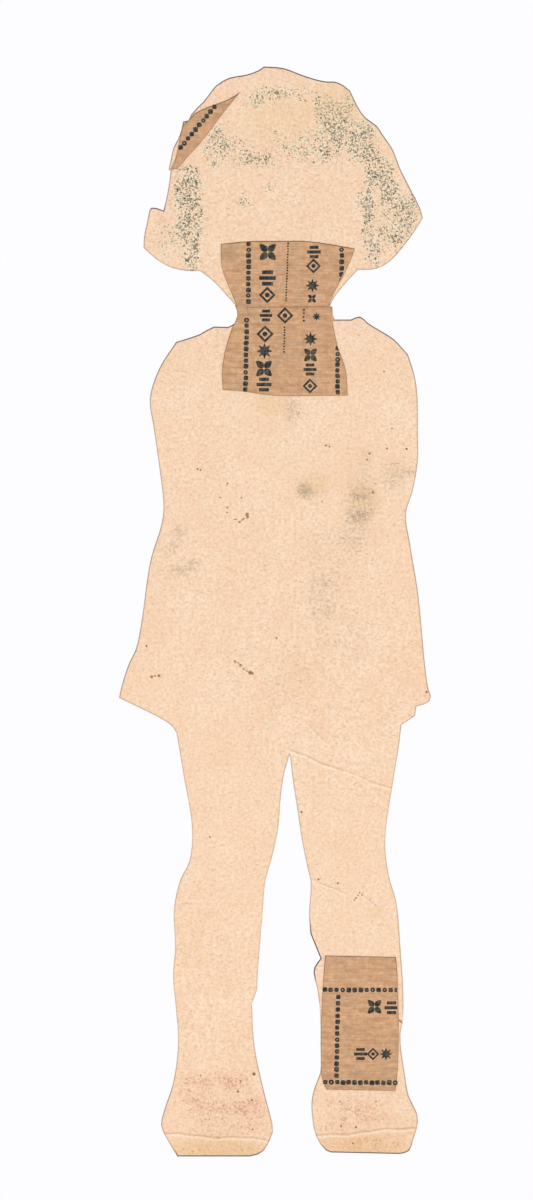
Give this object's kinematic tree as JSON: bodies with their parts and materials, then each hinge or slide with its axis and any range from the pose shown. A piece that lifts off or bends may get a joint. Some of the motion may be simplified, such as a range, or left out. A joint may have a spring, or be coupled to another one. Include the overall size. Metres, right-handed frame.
{
  "type": "paper doll",
  "caption": "Flat cut-out card doll of a standing girl, mended on its bare back with pasted brown paper, that folds at the torn neck and ankle and at its creases.",
  "frame": {"origin": "on the middle line of the doll, level with the lowest edge of the soles and halfway through the layers of card and paper", "axes": "+Z from the soles to the crown, +X to the doll's right side as seen from its bare back, +Y out of its printed front"},
  "size_m": [0.0624, 0.0006, 0.218],
  "materials": {
    "pulp_card": "matt, fine fibres",
    "kraft_paper": "matt, laid",
    "dried_paste": "matt film of dried flour paste"
  },
  "bodies": {
    "body": {"body_card": "pulp_card", "neck_patch_lower": "kraft_paper", "neck_paste_lower": "dried_paste", "neck_strip": "kraft_paper", "strip_paste": "dried_paste"},
    "head": {"head_card": "pulp_card", "hair_sliver": "pulp_card", "hair_patch": "kraft_paper", "hair_paste": "dried_paste", "neck_patch_upper": "kraft_paper", "neck_paste_upper": "dried_paste"},
    "right_leg": {"right_leg_card": "pulp_card", "ankle_patch_upper": "kraft_paper", "ankle_paste_upper": "dried_paste"},
    "right_foot": {"right_foot_card": "pulp_card", "ankle_patch_lower": "kraft_paper", "ankle_paste_lower": "dried_paste"},
    "left_sole": {"left_sole_tab": "pulp_card"},
    "right_sole": {"right_sole_tab": "pulp_card"}
  },
  "joints": [
    {"name": "neck_fold", "type": "hinge", "parent": "body", "child": "head", "pos_m": [0.00155, -0.00033, 0.1702], "axis": [1, 0, 0], "range_deg": [0, 150]},
    {"name": "right_thigh_fold", "type": "hinge", "parent": "body", "child": "right_leg", "pos_m": [0.0131, 0.00033, 0.0772], "axis": [0.9379, 0, -0.3469], "range_deg": [0, 90]},
    {"name": "right_ankle_fold", "type": "hinge", "parent": "right_leg", "child": "right_foot", "pos_m": [0.0172, -0.0002, 0.0285], "axis": [-0.9921, 0, 0.1253], "range_deg": [0, 120]},
    {"name": "left_sole_fold", "type": "hinge", "parent": "body", "child": "left_sole", "pos_m": [-0.0117, 0.00033, 0.0038], "axis": [0.9986, 0, -0.0523], "range_deg": [0, 90]},
    {"name": "right_sole_fold", "type": "hinge", "parent": "right_foot", "child": "right_sole", "pos_m": [0.0183, 0.00033, 0.0048], "axis": [0.9965, 0, 0.0837], "range_deg": [0, 90]}
  ]
}
